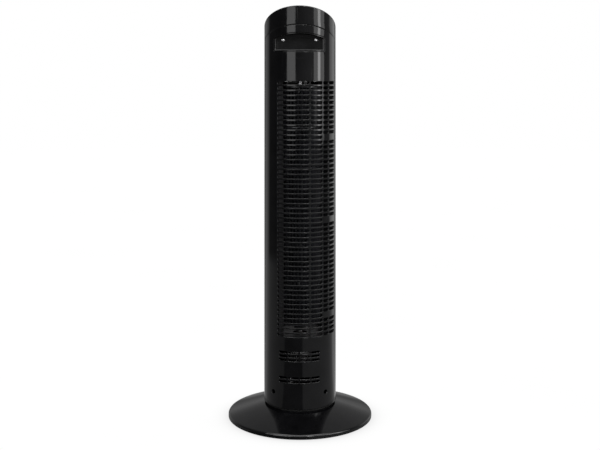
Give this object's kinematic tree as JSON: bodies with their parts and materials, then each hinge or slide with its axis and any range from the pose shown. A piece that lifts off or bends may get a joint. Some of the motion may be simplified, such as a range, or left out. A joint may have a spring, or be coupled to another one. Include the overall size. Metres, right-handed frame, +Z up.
{
  "type": "tower fan",
  "caption": "Slim upright fan: a round weighted base carries a swinging column with a cross-flow impeller, slotted intake, finned outlet, handle pocket and sloping key panel.",
  "frame": {"origin": "on the floor under the middle of the round base", "axes": "+Z up along the column and its swing axis; -Y the way the fan blows, +Y its back with the intake grille, handle pocket and vents; +X to the right as seen from the front"},
  "size_m": [0.251, 0.251, 0.7079],
  "materials": {
    "gloss_black": "polished black moulding, mirror-like, with faint scuffs",
    "matt_black": "fine-grained black moulding",
    "wheel_black": "satin black moulding",
    "key_grey": "satin dark grey moulding",
    "white_plastic": "natural acetal",
    "rubber": "soft black rubber",
    "steel": "plain zinc-plated steel",
    "screw_steel": "bright nickel-plated screw",
    "copper": "enamelled copper winding",
    "bronze": "sintered bronze bush"
  },
  "bodies": {
    "base": {"base_top": "gloss_black", "base_bottom": "matt_black", "base_ballast": "steel", "base_screw_1": "steel", "base_screw_2": "steel", "base_screw_3": "steel", "cord_grommet": "rubber", "foot_1": "rubber", "foot_2": "rubber", "foot_3": "rubber", "foot_4": "rubber", "foot_5": "rubber", "pivot_tube": "steel", "pivot_clip": "steel", "glide_ring": "white_plastic", "link_post": "steel"},
    "column": {"column_floor": "matt_black", "rear_shell": "gloss_black", "front_shell": "gloss_black", "top_cap": "gloss_black", "control_panel": "matt_black", "handle_pocket": "matt_black", "pocket_screw_left": "screw_steel", "pocket_screw_right": "screw_steel", "shell_screw_left": "screw_steel", "shell_screw_right": "screw_steel", "duct_floor": "matt_black", "duct_ceiling": "matt_black", "scroll_wall": "matt_black", "air_tongue": "matt_black", "top_bearing": "bronze", "motor_housing": "steel", "motor_cover": "steel", "stator_core": "steel", "upper_winding": "copper", "lower_winding": "copper", "motor_bearing_upper": "bronze", "motor_bearing_lower": "bronze", "swing_motor": "steel", "switch_block": "matt_black", "timer_body": "white_plastic"},
    "wheel": {"impeller": "wheel_black", "impeller_coupling": "rubber", "upper_shaft": "steel", "motor_shaft": "steel", "rotor": "steel"},
    "crank": {"swing_crank": "white_plastic"},
    "link": {"swing_link": "steel"},
    "knob": {"timer_knob": "key_grey"},
    "off_key": {"key_off": "key_grey"},
    "low_key": {"key_low": "key_grey"},
    "medium_key": {"key_medium": "key_grey"},
    "high_key": {"key_high": "key_grey"},
    "swing_key": {"key_swing": "key_grey"}
  },
  "joints": [
    {"name": "column_swing", "type": "hinge", "parent": "base", "child": "column", "pos_m": [0, 0, 0.03], "axis": [0, 0, 1], "range_deg": [-30, 30]},
    {"name": "wheel_spin", "type": "hinge", "parent": "column", "child": "wheel", "pos_m": [0, 0, 0.37], "axis": [0, 0, 1], "continuous": true},
    {"name": "crank_turn", "type": "hinge", "parent": "column", "child": "crank", "pos_m": [0.01869, -0.03371, 0.0395], "axis": [0, 0, 1], "range_deg": [-90, 90]},
    {"name": "link_turn", "type": "hinge", "parent": "crank", "child": "link", "pos_m": [0.02969, -0.03371, 0.0345], "axis": [0, 0, 1], "range_deg": [-90, 90]},
    {"name": "timer_turn", "type": "hinge", "parent": "column", "child": "knob", "pos_m": [0, 0.0176, 0.68527], "axis": [0, -0.4751, 0.8799], "range_deg": [-300, 0]},
    {"name": "off_press", "type": "slide", "parent": "column", "child": "off_key", "axis": [0, 0.4751, -0.8799], "range_m": [0, 0.0025], "stiffness_N_per_m": 250, "springref_m": -0.001},
    {"name": "low_press", "type": "slide", "parent": "column", "child": "low_key", "axis": [0, 0.4751, -0.8799], "range_m": [0, 0.0025], "stiffness_N_per_m": 250, "springref_m": -0.001},
    {"name": "medium_press", "type": "slide", "parent": "column", "child": "medium_key", "axis": [0, 0.4751, -0.8799], "range_m": [0, 0.0025], "stiffness_N_per_m": 250, "springref_m": -0.001},
    {"name": "high_press", "type": "slide", "parent": "column", "child": "high_key", "axis": [0, 0.4751, -0.8799], "range_m": [0, 0.0025], "stiffness_N_per_m": 250, "springref_m": -0.001},
    {"name": "swing_press", "type": "slide", "parent": "column", "child": "swing_key", "axis": [0, 0.4751, -0.8799], "range_m": [0, 0.0025], "stiffness_N_per_m": 250, "springref_m": -0.001}
  ],
  "couplings": [
    {"joint": "crank_turn", "follows": "column_swing", "ratio": -3},
    {"joint": "link_turn", "follows": "column_swing", "ratio": 3}
  ]
}
